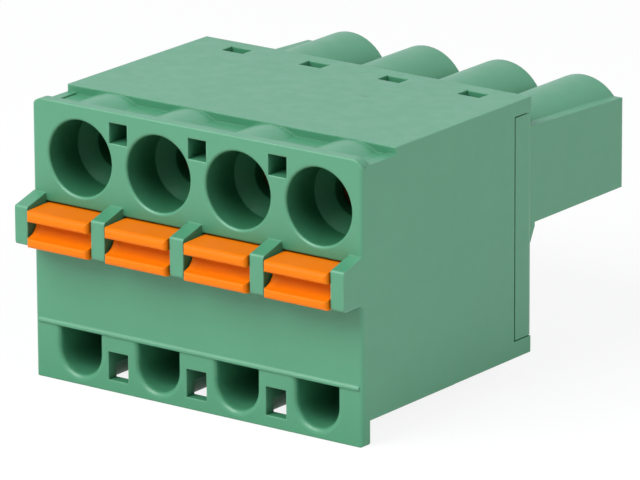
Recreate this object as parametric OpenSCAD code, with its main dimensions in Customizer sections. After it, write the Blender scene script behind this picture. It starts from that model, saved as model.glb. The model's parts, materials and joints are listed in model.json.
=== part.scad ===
// Pluggable terminal block with four push-in poles and actuating levers. Millimetres.
// X runs along the row of poles, +Y from the wire entries to the plug-in chambers, +Z up.

/* [Poles] */
// Distance between neighbouring poles
pole_pitch = 5.08; // [5.0:0.01:5.2]
// Sideways offset of the wire entries from the lever row
pole_shift = 0.19; // [0:0.01:0.25]
// Housing material outside the outer pole pitches, each side
end_margin = 0.35; // [0.25:0.01:0.5]

/* [Front housing] */
// Height of the front plate
plate_h = 15.02; // [14.8:0.02:15.3]
// Thickness of the front plate
plate_t = 0.65; // [0.5:0.05:0.9]
// Height of the body top above the plate's lower edge
body_h = 15.05; // [14.9:0.05:15.4]
// Height of the body's underside above the plate's lower edge
body_base = 1.3; // [1.0:0.05:1.5]
// Length of the front housing from plate face to rear edge
body_l = 14.83; // [14.6:0.01:15.0]
// Length of the recess behind the plate's upper edge
recess_l = 2.32; // [1.8:0.02:2.6]
// Depth of the recess behind the plate's upper edge
recess_d = 0.47; // [0.3:0.01:0.55]
// Radius of the front plate's upper corners
plate_r = 0.6; // [0.3:0.05:0.9]
// Radius of the front plate's lower corners
foot_r = 0.15; // [0.1:0.05:0.5]
// Rounding of the front plate's upright edges
plate_edge = 0.2; // [0.05:0.05:0.3]

/* [Wire entries] */
// Radius of the round wire entries
entry_r = 2.03; // [1.8:0.01:2.1]
// Height of the wire entry axis
entry_z = 12.2; // [12.1:0.02:12.24]
// Length of the round wire entry
entry_l = 2.4; // [2.0:0.1:2.8]
// Rounding of the entry's rim
rim_r = 0.16; // [0.1:0.02:0.4]
// Radius of the narrower passage behind the entry
passage_r = 1.3; // [1.1:0.05:1.4]
// Outer radius of the entry tubes
tube_r = 2.8; // [2.7:0.02:2.82]

/* [Levers] */
// Width of a lever
lever_w = 3.95; // [3.6:0.05:4.0]
// Height of a lever
lever_h = 2.05; // [1.9:0.05:2.1]
// Height of a lever's underside above the plate's lower edge
lever_z = 7.46; // [7.4:0.02:7.6]
// How far the lever's lips stand out of the plate
lever_out = 1.85; // [1.6:0.05:2.1]
// Radius of the finger groove between the lips
groove_r = 0.85; // [0.6:0.05:0.9]
// Rounding of the lips' ends, seen from above
lip_r = 0.25; // [0.1:0.05:0.4]
// Clearance around a lever in its window
lever_gap = 0.1; // [0.06:0.01:0.14]
// Travel of a lever when it is pushed
travel = 1.5; // [1.0:0.1:1.6]

/* [Guard ribs] */
// Width of the ribs between the levers
rib_w = 0.86; // [0.7:0.02:0.9]
// How far the ribs stand out of the plate
rib_out = 1.55; // [1.2:0.05:1.6]

/* [Lower channels] */
// Width of the lower channels
slot_w = 2.6; // [2.2:0.05:2.7]
// Height of a lower channel's flat top above the plate's lower edge
slot_top = 2.95; // [2.8:0.05:3.05]
// Height of a lower channel
slot_h = 2.45; // [2.3:0.05:2.45]
// Wall under and beside a lower channel
slot_wall = 0.55; // [0.4:0.05:0.6]
// Length of the lower channels
slot_l = 10.3; // [8:0.1:10.6]

/* [Rear housing] */
// How far the rear housing's flange stands out behind the front housing
flange_out = 0.29; // [0.2:0.01:0.4]
// Visible gap between the two housings
seam = 0.12; // [0.08:0.01:0.16]
// Length of the plug-in chambers beyond the flange
chamber_l = 8.46; // [8:0.02:9]
// Radius of the chambers' round tops
chamber_r = 2.6; // [2.5:0.02:2.7]
// Height of the chambers' crest
crest_z = 13.88; // [13.7:0.02:14]
// Height of the chambers' underside
chamber_z = 8.12; // [8:0.02:8.3]
// Gap between neighbouring chambers
chamber_gap = 0.3; // [0.2:0.05:0.6]
// Width of a pin opening
pin_w = 2.0; // [1.6:0.05:2.2]
// Height of a pin opening
pin_h = 2.4; // [2.0:0.05:2.6]

/* [Metal parts] */
// Thickness of the contact strip
bar_t = 0.6; // [0.5:0.05:0.8]
// Width of the contact strip
bar_w = 3.0; // [2.6:0.1:3.2]
// Thickness of the clamping spring
spring_t = 0.3; // [0.2:0.02:0.34]
// Width of the clamping spring
spring_w = 3.0; // [2.6:0.1:3.2]

/* [Hidden] */
poles = 4;
body_w = poles * pole_pitch + 2 * end_margin;
half_w = body_w / 2;
flange_y = body_l + flange_out;
chamber_y = flange_y + chamber_l;
mid_y = (chamber_y - lever_out) / 2;
green = [0.40, 0.66, 0.52];
orange = [0.98, 0.52, 0.06];
tin = [0.78, 0.78, 0.76];
steel = [0.70, 0.71, 0.72];
// how far a cutting shape reaches past the face that it opens
cut = 0.5;

// cells that hold lever, spring and contact
cell_w = lever_w + 0.25;
cell_top = 14.25;
cell_floor = slot_top + 0.65;
front_wall = 3.9;
end_wall = 0.85;
seat_y = body_l - 1.38;
strip_y = seat_y - seam;
window_w = 1.4;
window_l = 0.9;
window_y = seat_y - 0.43;
latch_gap = 0.06;
strip_z0 = 2.18;
strip_z1 = 14.28;

// round underside of the lower channels
slot_r = slot_w / 2;
slot_z = slot_top - slot_h + slot_r;

// chamber geometry
round_z = crest_z - chamber_r;
side_x = half_w - 0.23;
pin_z = 10.8;
cavity_w = bar_w + 0.6;
cavity_z0 = pin_z - 2.0;
cavity_z1 = pin_z + 1.75;
nose_wall = 1.1;
lead = 0.45;

// contact strip, and its two leaves measured from their root
bar_y = seat_y - 0.45 - bar_t;
socket_y = seat_y + 0.95;
leaf_t = 0.3;
leaf_w = 1.8;
root_h = 1.15;
knee_l = 2.2;
throat_l = 5.6;
throat_h = 0.42;
leaf_l = 7.4;
mouth_h = 0.95;

// spring: a leaning leg, a round loop and an upright that lies on the contact strip
loop_r = 1.5;
loop_y = bar_y - 3.9;
loop_z = 5.7;
leg_a = 65.5;
leg_l = 7.6;
bend_r = 0.6;
upright_z = pin_z + 1.6;

// arms of the levers, and what is left between them and the spring's leg at full travel
arm_w = 0.6;
arm_gap = 0.07;
arm_top = entry_z + 0.3;
press_gap = 0.35;

function lever_x(i) = (i - (poles + 1) / 2) * pole_pitch;
function pole_x(i) = lever_x(i) + pole_shift;
function gap_x(i) = (i - poles / 2) * pole_pitch;
// rear edge of a lever at a height, parallel to the spring's leg
function push_y(z) = loop_y - (loop_r + spring_t / 2 + press_gap) / sin(leg_a)
    + (z - loop_z) / tan(leg_a) - travel;
function arc(cy, cz, r, a0, a1, n) =
    [for (k = [0 : n]) [cy + r * cos(a0 + (a1 - a0) * k / n), cz + r * sin(a0 + (a1 - a0) * k / n)]];

// a block between two corners
module block(a, b) {
    translate(a) cube(b - a);
}

// a side-view outline (Y, Z) carried along X between two stations
module along_x(x0, x1) {
    translate([x0, 0, 0]) rotate([90, 0, 90]) linear_extrude(height = x1 - x0) children();
}

// a front-view outline (X, Z) carried along Y between two stations
module along_y(y0, y1) {
    translate([0, y1, 0]) rotate([90, 0, 0]) linear_extrude(height = y1 - y0) children();
}

// half outline of a hole with a rounded rim: half its width, depth into the face
function rim(half, r, step) =
    concat([[half + r, -cut]], [for (a = [0 : step : 90]) [half + r - r * sin(a), r - r * cos(a)]]);
function mirrored(p) = [for (k = [len(p) - 1 : -1 : 0]) [-p[k][0], p[k][1]]];

// everything is drawn from the plate face and moved to the middle here
module placed() {
    translate([0, -mid_y, 0]) children();
}

// ---- front housing ----

module plate_outline() {
    translate([-half_w, foot_r]) square([body_w, plate_h - plate_r - foot_r]);
    translate([foot_r - half_w, 0]) square([body_w - 2 * foot_r, plate_h - plate_r]);
    translate([plate_r - half_w, foot_r]) square([body_w - 2 * plate_r, plate_h - foot_r]);
    for (s = [-1, 1]) {
        translate([s * (half_w - plate_r), plate_h - plate_r]) circle(r = plate_r, $fn = 48);
        translate([s * (half_w - foot_r), foot_r]) circle(r = foot_r, $fn = 48);
    }
}

module front_plate() {
    intersection() {
        along_y(0, plate_t) plate_outline();
        linear_extrude(height = plate_h) {
            translate([-half_w, plate_edge]) square([body_w, plate_t - plate_edge]);
            translate([plate_edge - half_w, 0]) square([body_w - 2 * plate_edge, plate_t]);
            for (s = [-1, 1])
                translate([s * (half_w - plate_edge), plate_edge]) circle(r = plate_edge, $fn = 32);
        }
    }
}

module guard_rib(x0, x1) {
    top = lever_z + lever_h + 0.5;
    low = lever_z - 0.08;
    along_x(x0, x1) polygon(concat([[0.3, top], [0, top], [0.15 - rib_out, top - 0.4]],
        arc(0.15 - rib_out, top - 0.54, 0.15, 100, 180, 4),
        arc(0.2 - rib_out, low + 0.3, 0.2, 180, 260, 4),
        [[-0.15, low + 0.14], [0, low], [0.3, low]]));
}

module guard_ribs() {
    wide = end_margin + (pole_pitch - lever_w) / 2 - lever_gap;
    guard_rib(-half_w, -half_w + wide);
    guard_rib(half_w - wide, half_w);
    for (i = [1 : poles - 1]) guard_rib(gap_x(i) - rib_w / 2, gap_x(i) + rib_w / 2);
}

// low bead across the plate above the lower channels
module ledge() {
    out = 0.08;
    end = half_w - plate_edge;
    along_x(-end, end) polygon([[0.3, slot_top + 0.28], [0, slot_top + 0.28], [-out, slot_top + 0.16],
        [-out, slot_top + 0.06], [0, slot_top], [0.3, slot_top]]);
}

module entry_tubes() {
    intersection() {
        for (i = [1 : poles]) translate([pole_x(i), plate_t / 2, entry_z]) rotate([-90, 0, 0])
            cylinder(h = recess_l + plate_t, r = tube_r, $fn = 96);
        block([-half_w, 0, entry_z], [half_w, plate_t + recess_l + 0.2, body_h]);
    }
}

module channel_bulge(x) {
    r = slot_r + slot_wall;
    top = body_base + 0.4;
    intersection() {
        translate([x, plate_t / 2, slot_z]) rotate([-90, 0, 0]) cylinder(h = slot_l + 2, r = r, $fn = 72);
        along_x(x - r, x + r) polygon([[0, 0], [slot_l + 0.3, 0], [slot_l + 1.3, top], [0, top]]);
    }
}

module body_shell() {
    difference() {
        block([-half_w, plate_t / 2, body_base], [half_w, body_l, body_h]);
        block([-half_w + 0.55, plate_t / 2 - cut, body_h - recess_d],
            [half_w - 0.55, plate_t + recess_l, body_h + cut]);
        block([-half_w - cut, plate_t / 2 - cut, body_h - recess_d + 0.08],
            [half_w + cut, plate_t + recess_l, body_h + cut]);
    }
}

module wire_entry(x) {
    back = front_wall + cut;
    translate([x, 0, entry_z]) rotate([-90, 0, 0]) rotate_extrude($fn = 96) polygon(concat([[0, -cut]],
        rim(entry_r, rim_r, 15),
        [[entry_r, entry_l], [passage_r, entry_l + 0.8], [passage_r, back], [0, back]]));
}

module lever_window(x) {
    w = lever_w / 2 + lever_gap;
    block([x - w, -cut, lever_z - lever_gap], [x + w, front_wall + cut, lever_z + lever_h + lever_gap]);
}

module cell(x) {
    low = strip_z0 + 0.35;
    along_x(x - cell_w / 2, x + cell_w / 2) polygon([[front_wall, cell_floor], [slot_l + 0.7, cell_floor],
        [slot_l + 1.3, low], [seat_y + cut, low], [seat_y + cut, cell_top], [front_wall, cell_top]]);
}

module lower_channel(x) {
    lip = rim(slot_r, 0.3, 30);
    translate([x, 0, slot_z]) {
        along_y(-cut, slot_l) {
            intersection() {
                circle(r = slot_r, $fn = 72);
                translate([-slot_r, -slot_r]) square([slot_w, slot_r]);
            }
            translate([-slot_r, 0]) square([slot_w, slot_top - slot_z]);
        }
        // flared rim on the round underside, then on both straight sides
        difference() {
            rotate([-90, 0, 0]) rotate_extrude($fn = 72) polygon(concat([[0, -cut]], lip, [[0, 0.3]]));
            block([-slot_w, -2 * cut, 0], [slot_w, 1, slot_w]);
        }
        linear_extrude(height = slot_top - slot_z) polygon(concat(lip, mirrored(lip)));
    }
}

module top_window(x) {
    block([x - window_w / 2, window_y, cell_top - 0.2],
        [x + window_w / 2, window_y + window_l, body_h + cut]);
}

module main_housing() {
    color(green) placed() difference() {
        union() {
            body_shell();
            entry_tubes();
            front_plate();
            guard_ribs();
            ledge();
            for (i = [1 : poles]) channel_bulge(lever_x(i));
        }
        for (i = [1 : poles]) {
            wire_entry(pole_x(i));
            lever_window(lever_x(i));
            cell(lever_x(i));
            lower_channel(lever_x(i));
            top_window(pole_x(i));
        }
        for (i = [1 : poles - 1]) {
            // coding pockets between the entries, and the lower ones that run out under the body
            block([gap_x(i) + pole_shift - 0.58, -cut, 13.35], [gap_x(i) + pole_shift + 0.58, 2.2, 14.46]);
            block([gap_x(i) - 0.645, -cut, 0.62], [gap_x(i) + 0.645, 5, 2.15]);
        }
        // open rear end that takes the rear housing, a little longer at the outer walls
        block([-half_w - cut, seat_y, strip_z0], [half_w + cut, body_l + cut, strip_z1]);
        for (x = [-half_w - cut, half_w - end_wall])
            block([x, strip_y, strip_z0], [x + end_wall + cut, seat_y + cut, strip_z1]);
    }
}

// ---- rear housing ----

module flange() {
    r = 0.5;
    z0 = strip_z0 + 0.06;
    z1 = strip_z1 - 0.08;
    intersection() {
        translate([0, 0, z0]) linear_extrude(height = z1 - z0) {
            translate([-half_w + 0.02, seat_y]) square([body_w - 0.04, flange_y - r - seat_y]);
            translate([-half_w + 0.02 + r, seat_y]) square([body_w - 0.04 - 2 * r, flange_y - seat_y]);
            for (s = [-1, 1]) translate([s * (half_w - 0.02 - r), flange_y - r]) circle(r = r, $fn = 48);
        }
        along_x(-half_w, half_w) polygon(concat([[seat_y, z0], [flange_y - 0.2, z0], [flange_y, z0 + 0.2]],
            arc(flange_y - 0.6, z1 - 0.6, 0.6, 0, 90, 6), [[seat_y, z1]]));
    }
}

module chamber(i) {
    x0 = i == 1 ? -side_x : pole_x(i) - pole_pitch / 2 + chamber_gap / 2;
    x1 = i == poles ? side_x : pole_x(i) + pole_pitch / 2 - chamber_gap / 2;
    intersection() {
        union() {
            translate([pole_x(i), flange_y - 0.3, round_z]) rotate([-90, 0, 0])
                cylinder(h = chamber_y - flange_y + 0.3, r = chamber_r, $fn = 96);
            block([pole_x(i) - chamber_r, flange_y - 0.3, chamber_z],
                [pole_x(i) + chamber_r, chamber_y, round_z]);
        }
        block([x0, flange_y - 0.3, chamber_z], [x1, chamber_y, body_h]);
    }
}

// flat outer walls whose upper edge stands as a narrow ledge beside the round tops
module outer_walls() {
    wall = side_x - (pole_x(poles) + chamber_r * 0.7);
    for (s = [-1, 1]) along_x(s > 0 ? side_x - wall : -side_x, s > 0 ? side_x : -side_x + wall)
        polygon([[flange_y - 0.3, chamber_z], [chamber_y, chamber_z], [chamber_y, crest_z - 0.88],
            [flange_y - 0.3, crest_z - 0.5]]);
}

module gusset() {
    root = flange_y - 0.3;
    face = flange_y + 0.4;
    along_x(-side_x, side_x) polygon([[root, chamber_z - 1.1], [flange_y, chamber_z - 1.0],
        [face, chamber_z - 0.2], [face, chamber_z + 0.3], [root, chamber_z + 0.3]]);
    along_x(-side_x + 0.4, side_x - 0.4) polygon([[root, chamber_z], [face, chamber_z],
        [face, round_z + 0.4], [root, round_z + 0.8]]);
}

// hook that snaps into a window of the front housing's roof
module latch(x) {
    foot = cell_top - 0.8;
    along_x(x + latch_gap - window_w / 2, x - latch_gap + window_w / 2) polygon([
        [window_y + latch_gap, foot], [window_y + latch_gap, body_h - 0.32],
        [window_y + window_l - 0.25, body_h - 0.42], [window_y + window_l - latch_gap, cell_top - 0.05],
        [window_y + window_l - latch_gap, foot]]);
}

// outline of a lead-in that opens by lead on each side towards the rear face
function lead_in(half) =
    [[half + lead + cut, cut], [half, -lead], [-half, -lead], [-half - lead - cut, cut]];

module contact_path(x) {
    w = cavity_w / 2;
    block([x - w, seat_y - cut, cavity_z0], [x + w, chamber_y - nose_wall, cavity_z1]);
    block([x - pin_w / 2, chamber_y - 2, pin_z - pin_h / 2], [x + pin_w / 2, chamber_y, pin_z + pin_h / 2]);
    // sloped lead-in around the pin opening
    translate([x, chamber_y, pin_z]) intersection() {
        along_x(-pole_pitch / 2, pole_pitch / 2) polygon([for (p = lead_in(pin_h / 2)) [p[1], p[0]]]);
        translate([0, 0, -pole_pitch / 2]) linear_extrude(height = pole_pitch) polygon(lead_in(pin_w / 2));
    }
}

module contact_housing() {
    color(green) placed() difference() {
        union() {
            flange();
            gusset();
            outer_walls();
            for (i = [1 : poles]) {
                chamber(i);
                latch(pole_x(i));
            }
        }
        for (i = [1 : poles]) contact_path(pole_x(i));
    }
}

// ---- levers ----

// the lever seen from above, with rounded ends to its lips
module lever_plan(back) {
    end = lever_w / 2 - lip_r;
    translate([-lever_w / 2, lip_r - lever_out]) square([lever_w, back + lever_out - lip_r]);
    translate([-end, -lever_out]) square([2 * end, lever_out]);
    for (s = [-1, 1]) translate([s * end, lip_r - lever_out]) circle(r = lip_r, $fn = 32);
}

module lever(i) {
    top = lever_z + lever_h;
    tip = -lever_out;
    lip_z = lever_z + 1.38;
    arm_in = lever_w / 2 - arm_gap - arm_w;
    arm_out = lever_w / 2 - arm_gap;
    color(orange) placed() translate([lever_x(i), 0, 0]) {
        intersection() {
            linear_extrude(height = top + cut) lever_plan(push_y(top));
            along_x(-lever_w / 2, lever_w / 2) polygon(concat(
                [[push_y(lever_z), lever_z], [push_y(top), top], [-0.2, top]],
                arc(tip + 0.3, top - 0.36, 0.3, 90, 180, 6),
                arc(tip + 0.2, lip_z + 0.22, 0.2, 180, 262, 5),
                arc(tip + 0.1, lip_z, groove_r, 0, -80, 10),
                arc(tip + 0.14, lever_z + 0.4, 0.14, 120, 180, 3),
                arc(tip + 0.24, lever_z + 0.26, 0.24, 180, 265, 5),
                [[-0.4, lever_z]]));
        }
        // arms that reach up on both sides of the wire's path
        for (x = [-arm_out, arm_in]) along_x(x, x + arm_w) polygon([[front_wall + arm_gap, top - 0.3],
            [front_wall + arm_gap, arm_top], [push_y(arm_top), arm_top], [push_y(top - 0.3), top - 0.3]]);
    }
}

// ---- metal parts ----

module spring_outline() {
    t = spring_t / 2;
    d = [cos(leg_a), sin(leg_a)];
    n = [-sin(leg_a), cos(leg_a)];
    start = [loop_y, loop_z] + loop_r * n;
    tip = start + leg_l * d;
    polygon(concat(
        [tip + t * n],
        arc(loop_y, loop_z, loop_r + t, leg_a + 90, 270, 14),
        arc(bar_y - t - bend_r, loop_z - loop_r + bend_r, bend_r + t, 270, 360, 6),
        [[bar_y, upright_z], [bar_y - 2 * t, upright_z]],
        arc(bar_y - t - bend_r, loop_z - loop_r + bend_r, bend_r - t, 360, 270, 6),
        arc(loop_y, loop_z, loop_r - t, 270, leg_a + 90, 14),
        [tip - t * n]));
}

module clamp_spring(i) {
    color(steel) placed() along_x(pole_x(i) - spring_w / 2, pole_x(i) + spring_w / 2) spring_outline();
}

// one of the two leaves that grip a pin: s is 1 for the upper and -1 for the lower
module socket_leaf(s) {
    inner = [[0, root_h], [knee_l, root_h], [throat_l, throat_h], [leaf_l, mouth_h]];
    outer = [for (k = [len(inner) - 1 : -1 : 0]) inner[k] + [0, leaf_t]];
    polygon([for (p = concat(inner, outer)) [socket_y + p[0], pin_z + s * p[1]]]);
}

module contact(i) {
    w = bar_w / 2;
    tip = front_wall + 0.5;
    strip = bar_t / 2;
    root = root_h + leaf_t;
    color(tin) placed() translate([pole_x(i), 0, 0]) {
        // current bar under the cell's roof, with a lead-in at its tip, and its upright at the rear
        along_x(-w, w) polygon([[tip, cell_top - bar_t + 0.25], [tip + 0.4, cell_top - bar_t],
            [bar_y, cell_top - bar_t], [bar_y, pin_z - strip], [bar_y + bar_t, pin_z - strip],
            [bar_y + bar_t, cell_top], [tip, cell_top]]);
        // strip through the flange, and the root of the two leaves
        block([-w, bar_y + strip, pin_z - strip], [w, socket_y + leaf_t, pin_z + strip]);
        block([-w, socket_y, pin_z - root], [w, socket_y + leaf_t, pin_z + root]);
        for (s = [-1, 1]) along_x(-leaf_w / 2, leaf_w / 2) socket_leaf(s);
    }
}

module lever_1() { lever(1); }
module lever_2() { lever(2); }
module lever_3() { lever(3); }
module lever_4() { lever(4); }
module clamp_spring_1() { clamp_spring(1); }
module clamp_spring_2() { clamp_spring(2); }
module clamp_spring_3() { clamp_spring(3); }
module clamp_spring_4() { clamp_spring(4); }
module contact_1() { contact(1); }
module contact_2() { contact(2); }
module contact_3() { contact(3); }
module contact_4() { contact(4); }

main_housing();
contact_housing();
lever_1();
lever_2();
lever_3();
lever_4();
clamp_spring_1();
clamp_spring_2();
clamp_spring_3();
clamp_spring_4();
contact_1();
contact_2();
contact_3();
contact_4();
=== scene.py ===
import json
import math

import bpy
from mathutils import Matrix, Vector


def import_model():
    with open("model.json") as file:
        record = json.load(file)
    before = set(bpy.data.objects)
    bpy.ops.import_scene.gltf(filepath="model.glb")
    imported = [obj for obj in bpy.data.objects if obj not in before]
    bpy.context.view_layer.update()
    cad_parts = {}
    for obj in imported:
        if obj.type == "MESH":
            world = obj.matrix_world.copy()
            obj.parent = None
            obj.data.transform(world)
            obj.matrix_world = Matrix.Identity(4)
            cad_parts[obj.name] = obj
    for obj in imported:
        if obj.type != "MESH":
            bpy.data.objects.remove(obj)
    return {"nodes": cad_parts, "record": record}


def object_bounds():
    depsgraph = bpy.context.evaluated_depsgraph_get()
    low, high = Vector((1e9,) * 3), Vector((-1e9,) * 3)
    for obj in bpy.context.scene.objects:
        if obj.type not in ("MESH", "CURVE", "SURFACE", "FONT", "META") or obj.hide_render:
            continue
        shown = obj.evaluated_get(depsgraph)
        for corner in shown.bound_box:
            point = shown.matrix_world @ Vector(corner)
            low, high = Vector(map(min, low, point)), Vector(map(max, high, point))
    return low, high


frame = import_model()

MM = 0.001
CAD_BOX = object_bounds()
CENTRE = (CAD_BOX[0] + CAD_BOX[1]) / 2

# ---- looks ----

GREEN = (0.062, 0.255, 0.140)
ORANGE = (0.74, 0.165, 0.001)
STEEL = (0.52, 0.53, 0.54)
TIN = (0.60, 0.60, 0.57)

# the painted highlight colour on thin and rounded edges, and the painted shade green where little light
# gets in
GREEN_EDGE_HIGHLIGHT = (0.170, 0.430, 0.270)
ORANGE_EDGE_HIGHLIGHT = (1.0, 0.36, 0.03)
GREEN_PAINTED_SHADE = (0.016, 0.098, 0.042)

# radius that the shading rounds edges to
EDGE_GREEN = 0.13 * MM
EDGE_ORANGE = 0.10 * MM
EDGE_METAL = 0.03 * MM

# width of the patterns in the materials, in millimetres
CLOUD_MM = 4.0
STREAK_MM = 0.5
SHEEN_MM = 0.9
GRAIN_MM = 0.12
STAIN_MM = 1.1
ROLLING_MM = 0.05

# how far streaks and rolling lines are drawn out: a small share means a long line
STREAK_STRETCH = 0.12
ROLLING_STRETCH = 0.05

# how dark and light the clouds, streaks, marks, stains and the painted highlight on metal edges are,
# against the base colour
CLOUD_DARK = 0.975
CLOUD_LIGHT = 1.025
STREAK_LIGHT = 1.04
MARK_DARK = 0.55
STAIN_DARK = 0.88
STAIN_LIGHT = 1.08
METAL_EDGE_HIGHLIGHT = 1.35

# how far the roughness wanders either way: over the plastic's skin, and down and up on the metal
SHEEN_SPREAD = 0.04
ROLLING_DOWN = 0.08
ROLLING_UP = 0.10

# cosine between the rounded normal and the true one, on a full edge and on an open face
EDGE_COSINES = (0.80, 0.995)

# how much of each effect mixes into the plastic's colour: streaks, the painted edge highlight, mould marks,
# and the painted shade outside the bores
STREAK_SHARE = 0.3
EDGE_HIGHLIGHT_SHARE = 0.6
MARK_SHARE = 0.35
SHADE_SHARE_OUTSIDE_BORES = 0.35

# reach of the test for nearby faces, and the open shares between which its answer goes from 0 to 1
EDGE_REACH = 0.4 * MM
EDGE_OPEN = (0.80, 0.98)
AIR_REACH = 8.0 * MM
AIR_OPEN = (0.15, 0.80)

# specular level where no air is open, in the corners and bores of the housings
CLOSED_GLOSS = 0.03

# the wire entries, from the record
BORES = [mount for mount in frame["record"]["mounts"] if mount["kind"] == "bore"]
BORE_FADE = 0.1 * MM

# the roof's own height range, where the mould's marks are
ROOF_HALF = 0.05 * MM
ROOF_FADE = 0.02 * MM

# the line where two mould slides met: its middle, half its width and length, and how its rims fade
LINE_X = 0.19 * MM
LINE_Y = CENTRE.y - 2.9 * MM
LINE_HALF_WIDTH = 0.015 * MM
LINE_HALF_LENGTH = 2.6 * MM
LINE_SIDE_FADE = 0.05 * MM
LINE_END_FADE = 0.8 * MM

# the mark of an ejector pin: its middle, half its width and length, and how its rim fades
PIN_X = 3.47 * MM
PIN_Y = CENTRE.y - 0.97 * MM
PIN_HALF_WIDTH = 0.16 * MM
PIN_HALF_LENGTH = 0.10 * MM
PIN_FADE = 0.14 * MM


def new_material(name):
    material = bpy.data.materials.new(name)
    material.use_nodes = True
    nodes = material.node_tree.nodes
    nodes.clear()
    return material, nodes, material.node_tree.links


def node(nodes, kind, **settings):
    made = nodes.new(kind)
    for key, value in settings.items():
        setattr(made, key, value)
    return made


def plain_shader(name):
    """A new material whose Principled shader is on the output, with the piece's own coordinates."""
    material, nodes, links = new_material(name)
    out = node(nodes, "ShaderNodeOutputMaterial")
    shader = node(nodes, "ShaderNodeBsdfPrincipled")
    coords = node(nodes, "ShaderNodeTexCoord").outputs["Object"]
    links.new(shader.outputs["BSDF"], out.inputs["Surface"])
    return material, nodes, links, shader, coords


def noise(nodes, links, coords, scale_mm, detail=3.0):
    """Noise whose grain is about scale_mm across."""
    made = node(nodes, "ShaderNodeTexNoise", noise_dimensions="3D")
    made.inputs["Scale"].default_value = 1.0 / (scale_mm * MM)
    made.inputs["Detail"].default_value = detail
    made.inputs["Roughness"].default_value = 0.55
    links.new(coords, made.inputs["Vector"])
    return made.outputs["Fac"]


def stretched(nodes, links, coords, scale):
    made = node(nodes, "ShaderNodeMapping")
    made.inputs["Scale"].default_value = scale
    links.new(coords, made.inputs["Vector"])
    return made.outputs["Vector"]


def remap(nodes, links, value, low, high, source=(0.3, 0.7)):
    """Turns the source range into low to high. The default source is the middle of a noise."""
    made = node(nodes, "ShaderNodeMapRange")
    made.inputs["From Min"].default_value = source[0]
    made.inputs["From Max"].default_value = source[1]
    made.inputs["To Min"].default_value = low
    made.inputs["To Max"].default_value = high
    links.new(value, made.inputs["Value"])
    return made.outputs["Result"]


def rounded_edges(nodes, links, radius):
    """The normal with its edges rounded, and a mask: 1 where it leaves the true normal, 0 on open faces."""
    bevel = node(nodes, "ShaderNodeBevel", samples=6)
    bevel.inputs["Radius"].default_value = radius
    geometry = node(nodes, "ShaderNodeNewGeometry")
    dot = node(nodes, "ShaderNodeVectorMath", operation="DOT_PRODUCT")
    links.new(bevel.outputs["Normal"], dot.inputs[0])
    links.new(geometry.outputs["Normal"], dot.inputs[1])
    return bevel.outputs["Normal"], remap(nodes, links, dot.outputs["Value"], 1.0, 0.0, EDGE_COSINES)


def mix_colour(nodes, links, factor, first, second):
    made = node(nodes, "ShaderNodeMix", data_type="RGBA")
    links.new(factor, made.inputs["Factor"])
    for socket, colour in (("A", first), ("B", second)):
        target = [i for i in made.inputs if i.name == socket and i.type == "RGBA"][0]
        if isinstance(colour, tuple):
            target.default_value = (*colour, 1.0)
        else:
            links.new(colour, target)
    return [o for o in made.outputs if o.type == "RGBA"][0]


def scaled(colour, factor):
    return tuple(min(1.0, c * factor) for c in colour)


def product(nodes, links, first, second):
    """Multiplies two sockets, or a socket and a number."""
    made = node(nodes, "ShaderNodeMath", operation="MULTIPLY")
    for socket, value in zip(made.inputs, (first, second)):
        if isinstance(value, float):
            socket.default_value = value
        else:
            links.new(value, socket)
    return made.outputs["Value"]


def within(nodes, links, value, middle, half, soft):
    """1 where the value lies within half of the middle, fading out over the soft width."""
    offset = node(nodes, "ShaderNodeMath", operation="SUBTRACT")
    links.new(value, offset.inputs[0])
    offset.inputs[1].default_value = middle
    away = node(nodes, "ShaderNodeMath", operation="ABSOLUTE")
    links.new(offset.outputs["Value"], away.inputs[0])
    return remap(nodes, links, away.outputs["Value"], 1.0, 0.0, (half, half + soft))


def mould_marks(nodes, links):
    """1 on the faint line and the small pin mark that the mould left on the roof, 0 elsewhere."""
    axes = node(nodes, "ShaderNodeSeparateXYZ")
    links.new(node(nodes, "ShaderNodeNewGeometry").outputs["Position"], axes.inputs["Vector"])
    x, y, z = (axes.outputs[name] for name in "XYZ")
    roof = within(nodes, links, z, CAD_BOX[1].z, ROOF_HALF, ROOF_FADE)
    line = product(nodes, links, within(nodes, links, x, LINE_X, LINE_HALF_WIDTH, LINE_SIDE_FADE),
                   within(nodes, links, y, LINE_Y, LINE_HALF_LENGTH, LINE_END_FADE))
    pin = product(nodes, links, within(nodes, links, x, PIN_X, PIN_HALF_WIDTH, PIN_FADE),
                  within(nodes, links, y, PIN_Y, PIN_HALF_LENGTH, PIN_FADE))
    both = node(nodes, "ShaderNodeMath", operation="MAXIMUM")
    links.new(line, both.inputs[0])
    links.new(pin, both.inputs[1])
    return product(nodes, links, roof, both.outputs["Value"])


def openness(nodes, links, reach, span):
    """0 where faces within reach close a point in, 1 on open faces."""
    shade = node(nodes, "ShaderNodeAmbientOcclusion", samples=5)
    shade.inputs["Distance"].default_value = reach
    return remap(nodes, links, shade.outputs["AO"], 0.0, 1.0, span)


def inside_bores(nodes, links):
    """1 within the record's round bores, seen along their axes, and 0 beyond them."""
    flat = node(nodes, "ShaderNodeVectorMath", operation="MULTIPLY")
    flat.inputs[1].default_value = (1.0, 0.0, 1.0)
    links.new(node(nodes, "ShaderNodeNewGeometry").outputs["Position"], flat.inputs[0])
    nearest = None
    for bore in BORES:
        x, _, z = bore["pos_m"]
        away = node(nodes, "ShaderNodeVectorMath", operation="DISTANCE")
        away.inputs[1].default_value = (x, 0.0, z)
        links.new(flat.outputs["Vector"], away.inputs[0])
        if nearest is None:
            nearest = away.outputs["Value"]
            continue
        closer = node(nodes, "ShaderNodeMath", operation="MINIMUM")
        links.new(nearest, closer.inputs[0])
        links.new(away.outputs["Value"], closer.inputs[1])
        nearest = closer.outputs["Value"]
    radius = BORES[0]["dims"]["r_mm"] * MM
    return remap(nodes, links, nearest, 1.0, 0.0, (radius, radius + BORE_FADE))


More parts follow.
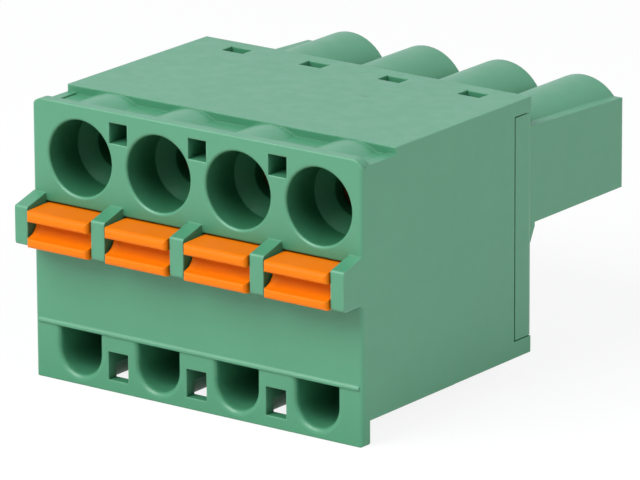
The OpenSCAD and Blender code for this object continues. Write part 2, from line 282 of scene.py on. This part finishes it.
def depth_shade(nodes, links, air):
    """How much painted shade darkens the colour where little air is open: fully in a wire entry, in part
    elsewhere.
    """
    closed = node(nodes, "ShaderNodeMath", operation="SUBTRACT")
    closed.inputs[0].default_value = 1.0
    links.new(air, closed.inputs[1])
    share = remap(nodes, links, inside_bores(nodes, links), SHADE_SHARE_OUTSIDE_BORES, 1.0, (0.0, 1.0))
    return product(nodes, links, closed.outputs["Value"], share)


def clouded(nodes, links, coords, colour):
    """The colour in faint clouds, with streaks along the way the plastic flowed into the mould."""
    cloudy = remap(nodes, links, noise(nodes, links, coords, CLOUD_MM), 0.0, 1.0)
    body = mix_colour(nodes, links, cloudy, scaled(colour, CLOUD_DARK), scaled(colour, CLOUD_LIGHT))
    flow = stretched(nodes, links, coords, (1.0, STREAK_STRETCH, 1.0))
    streaks = remap(nodes, links, noise(nodes, links, flow, STREAK_MM), 0.0, STREAK_SHARE)
    return mix_colour(nodes, links, streaks, body, scaled(colour, STREAK_LIGHT))


def housing_shade(nodes, links, shader, body, colour, gloss):
    """Adds the mould's marks, paints shade into the colour and dulls the shine where little air is open."""
    mark = product(nodes, links, mould_marks(nodes, links), MARK_SHARE)
    body = mix_colour(nodes, links, mark, body, scaled(colour, MARK_DARK))
    air = openness(nodes, links, AIR_REACH, AIR_OPEN)
    # painted shade: the colour darkens towards a deep green where little air is open, fully inside the
    # bores
    body = mix_colour(nodes, links, depth_shade(nodes, links, air), body, GREEN_PAINTED_SHADE)
    shine = remap(nodes, links, air, CLOSED_GLOSS, gloss, (0.0, 1.0))
    links.new(shine, shader.inputs["Specular IOR Level"])
    return body


def fine_bump(nodes, links, shader, height, normal, strength, depth):
    bump = node(nodes, "ShaderNodeBump")
    bump.inputs["Strength"].default_value = strength
    bump.inputs["Distance"].default_value = depth
    links.new(height, bump.inputs["Height"])
    links.new(normal, bump.inputs["Normal"])
    links.new(bump.outputs["Normal"], shader.inputs["Normal"])


def moulded_plastic(name, colour, edge_highlight_colour, edge_radius, roughness, gloss, housing=False):
    """Satin injection-moulded plastic: fine grain, cloudy colour, flow streaks and a painted highlight on
    the edges.
    """
    material, nodes, links, shader, coords = plain_shader(name)
    edge_normal, edges = rounded_edges(nodes, links, edge_radius)
    body = clouded(nodes, links, coords, colour)
    # painted highlight: outward edges are mixed towards a lighter colour
    highlight_mask = product(nodes, links, edges, openness(nodes, links, EDGE_REACH, EDGE_OPEN))
    body = mix_colour(nodes, links, product(nodes, links, highlight_mask, EDGE_HIGHLIGHT_SHARE), body, edge_highlight_colour)
    shader.inputs["Specular IOR Level"].default_value = gloss
    if housing:
        body = housing_shade(nodes, links, shader, body, colour, gloss)
    links.new(body, shader.inputs["Base Color"])

    sheen = noise(nodes, links, coords, SHEEN_MM)
    skin = remap(nodes, links, sheen, roughness - SHEEN_SPREAD, roughness + SHEEN_SPREAD)
    links.new(skin, shader.inputs["Roughness"])
    shader.inputs["IOR"].default_value = 1.53
    shader.inputs["Subsurface Weight"].default_value = 0.08
    shader.inputs["Subsurface Radius"].default_value = (0.5, 1.0, 0.6)
    shader.inputs["Subsurface Scale"].default_value = 0.3 * MM
    grain = noise(nodes, links, coords, GRAIN_MM, detail=2.0)
    fine_bump(nodes, links, shader, grain, edge_normal, strength=0.10, depth=0.01 * MM)
    return material


def rolled_metal(name, colour, roughness):
    """Rolled and stamped strip: fine lines along the strip, faint stains and a painted highlight on the
    edges.
    """
    material, nodes, links, shader, coords = plain_shader(name)
    edge_normal, edges = rounded_edges(nodes, links, EDGE_METAL)
    stain = remap(nodes, links, noise(nodes, links, coords, STAIN_MM), 0.0, 1.0)
    body = mix_colour(nodes, links, stain, scaled(colour, STAIN_DARK), scaled(colour, STAIN_LIGHT))
    # painted highlight: the strip's edges are made lighter
    body = mix_colour(nodes, links, edges, body, scaled(colour, METAL_EDGE_HIGHLIGHT))
    links.new(body, shader.inputs["Base Color"])
    shader.inputs["Metallic"].default_value = 1.0

    along = stretched(nodes, links, coords, (1.0, ROLLING_STRETCH, ROLLING_STRETCH))
    lines = noise(nodes, links, along, ROLLING_MM, detail=2.0)
    skin = remap(nodes, links, lines, roughness - ROLLING_DOWN, roughness + ROLLING_UP)
    links.new(skin, shader.inputs["Roughness"])
    fine_bump(nodes, links, shader, lines, edge_normal, strength=0.15, depth=0.004 * MM)
    return material


def dress(names, material):
    for name in names:
        for slot in frame["nodes"][name].material_slots:
            slot.material = material


def numbered(stem):
    return sorted(name for name in frame["nodes"] if name.startswith(stem) and name[-1].isdigit())


dress(["main_housing", "contact_housing"],
      moulded_plastic("green_polyamide", GREEN, GREEN_EDGE_HIGHLIGHT, EDGE_GREEN, roughness=0.40, gloss=0.62,
                      housing=True))
dress(numbered("lever_"),
      moulded_plastic("orange_plastic", ORANGE, ORANGE_EDGE_HIGHLIGHT, EDGE_ORANGE, roughness=0.45, gloss=0.12))
dress(numbered("clamp_spring_"), rolled_metal("spring_strip", STEEL, roughness=0.30))
dress(numbered("contact_"), rolled_metal("tin_plate", TIN, roughness=0.38))

# ---- floor, light and camera ----

FLOOR_HALF = 1.2
FLOOR_COLOUR = (0.93, 0.93, 0.93, 1.0)
FLOOR_WHITE_SHARE = 0.88
WHITE = (1.0, 1.0, 1.0, 1.0)
SKY_COLOUR = (0.90, 0.96, 1.0, 1.0)

# degrees, with azimuth 0 in front of the plate; the lens and the sensor in millimetres
CAMERA_AZIMUTH = 36.512
CAMERA_ELEVATION = 16.545
CAMERA_ROLL = -0.31
CAMERA_AIM = CENTRE + Vector((1.526, -2.24, -0.222)) * MM
CAMERA_DISTANCE = 340.14 * MM
CAMERA_LENS = 369.27
CAMERA_SENSOR = 36.0


def seen_directly(nodes, links):
    """1 for camera and gloss rays, 0 for the rays that light the object."""
    path = node(nodes, "ShaderNodeLightPath")
    seen = node(nodes, "ShaderNodeMath", operation="MAXIMUM")
    links.new(path.outputs["Is Camera Ray"], seen.inputs[0])
    links.new(path.outputs["Is Glossy Ray"], seen.inputs[1])
    return seen.outputs["Value"]


def pale_to_camera(nodes, links, shader, out, share):
    """Shows camera and gloss rays that share of plain white, and the lit floor with its shadow besides."""
    white = node(nodes, "ShaderNodeEmission")
    white.inputs["Color"].default_value = WHITE
    fade = remap(nodes, links, seen_directly(nodes, links), 0.0, share, (0.0, 1.0))
    mix = node(nodes, "ShaderNodeMixShader")
    links.new(fade, mix.inputs["Fac"])
    links.new(shader, mix.inputs[1])
    links.new(white.outputs["Emission"], mix.inputs[2])
    links.new(mix.outputs["Shader"], out.inputs["Surface"])


def floor():
    mesh = bpy.data.meshes.new("floor")
    corners = [(x * FLOOR_HALF, y * FLOOR_HALF, 0.0) for x, y in ((-1, -1), (1, -1), (1, 1), (-1, 1))]
    mesh.from_pydata(corners, [], [(0, 1, 2, 3)])
    piece = bpy.data.objects.new("floor", mesh)
    piece.location.z = CAD_BOX[0].z
    bpy.context.scene.collection.objects.link(piece)
    material, nodes, links = new_material("floor_white")
    out = node(nodes, "ShaderNodeOutputMaterial")
    shader = node(nodes, "ShaderNodeBsdfPrincipled")
    shader.inputs["Base Color"].default_value = FLOOR_COLOUR
    shader.inputs["Roughness"].default_value = 0.7
    pale_to_camera(nodes, links, shader.outputs["BSDF"], out, FLOOR_WHITE_SHARE)
    mesh.materials.append(material)


def world(strength):
    """A pale sky that lights the object at that strength and shows as strength 1 to the camera."""
    made = bpy.data.worlds.new("studio")
    bpy.context.scene.world = made
    made.use_nodes = True
    nodes = made.node_tree.nodes
    nodes.clear()
    links = made.node_tree.links
    out = node(nodes, "ShaderNodeOutputWorld")
    level = remap(nodes, links, seen_directly(nodes, links), strength, 1.0, (0.0, 1.0))
    background = node(nodes, "ShaderNodeBackground")
    background.inputs["Color"].default_value = SKY_COLOUR
    links.new(level, background.inputs["Strength"])
    links.new(background.outputs["Background"], out.inputs["Surface"])


def soft_light(name, azimuth, elevation, distance, size, power):
    """A square area light that looks at the object's middle. Azimuth 0 lights the front."""
    lamp = bpy.data.lights.new(name, "AREA")
    lamp.size = size
    lamp.energy = power
    made = bpy.data.objects.new(name, lamp)
    a, e = math.radians(azimuth), math.radians(elevation)
    towards = Vector((math.sin(a) * math.cos(e), -math.cos(a) * math.cos(e), math.sin(e)))
    made.location = CENTRE + towards * distance
    made.rotation_euler = towards.to_track_quat("Z", "Y").to_euler()
    bpy.context.scene.collection.objects.link(made)


def camera():
    azimuth = math.radians(CAMERA_AZIMUTH)
    elevation = math.radians(CAMERA_ELEVATION)
    roll = math.radians(CAMERA_ROLL)
    right = Vector((math.cos(azimuth), math.sin(azimuth), 0.0))
    back = Vector((math.sin(azimuth) * math.cos(elevation),
                   -math.cos(azimuth) * math.cos(elevation), math.sin(elevation)))
    up = back.cross(right)
    turned_right = right * math.cos(roll) + up * math.sin(roll)
    turned_up = up * math.cos(roll) - right * math.sin(roll)
    lens = bpy.data.cameras.new("camera")
    lens.sensor_width = CAMERA_SENSOR
    lens.lens = CAMERA_LENS
    lens.clip_start = 0.01
    lens.clip_end = 10.0
    made = bpy.data.objects.new("camera", lens)
    turn = Matrix((turned_right, turned_up, back)).transposed()
    made.matrix_world = Matrix.Translation(CAMERA_AIM + back * CAMERA_DISTANCE) @ turn.to_4x4()
    bpy.context.scene.collection.objects.link(made)
    bpy.context.scene.camera = made


floor()
world(strength=0.24)
soft_light("key", azimuth=-20.0, elevation=46.0, distance=0.30, size=0.20, power=1.08)
soft_light("side", azimuth=85.0, elevation=32.0, distance=0.32, size=0.20, power=0.385)
camera()
bpy.context.scene.view_settings.view_transform = "Standard"
